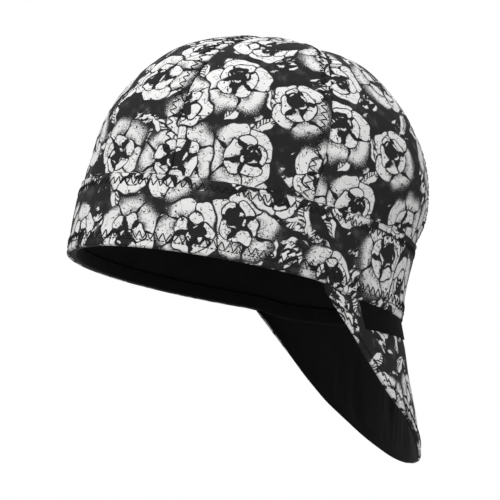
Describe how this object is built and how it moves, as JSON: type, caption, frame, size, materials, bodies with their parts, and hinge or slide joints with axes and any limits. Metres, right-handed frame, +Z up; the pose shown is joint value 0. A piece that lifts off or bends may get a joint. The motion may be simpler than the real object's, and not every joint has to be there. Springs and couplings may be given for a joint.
{
  "type": "welding cap",
  "caption": "Soft cotton welding cap: rounded crown of sewn panels, a band over the rim, black lining, and a long flap over the neck.",
  "frame": {"origin": "middle of the rim, in the plane where the cap sits on the head", "axes": "+Z up through the crown, -Y to the front of the cap, +X to the wearer's left, +Y to the back where the flap hangs"},
  "size_m": [0.17, 0.2279, 0.2323],
  "materials": {
    "printed_cotton": "printed cotton twill, matt",
    "lining": "black cotton, matt",
    "label": "woven tape, slight sheen"
  },
  "bodies": {
    "root": {"crown_panel_left": "printed_cotton", "crown_panel_rear_left": "printed_cotton", "crown_panel_rear_right": "printed_cotton", "crown_panel_right": "printed_cotton", "crown_panel_front_right": "printed_cotton", "crown_panel_front_left": "printed_cotton", "band": "printed_cotton", "flap": "printed_cotton", "crown_lining": "lining", "rim_facing": "lining", "flap_lining": "lining", "label": "label"}
  },
  "joints": []
}
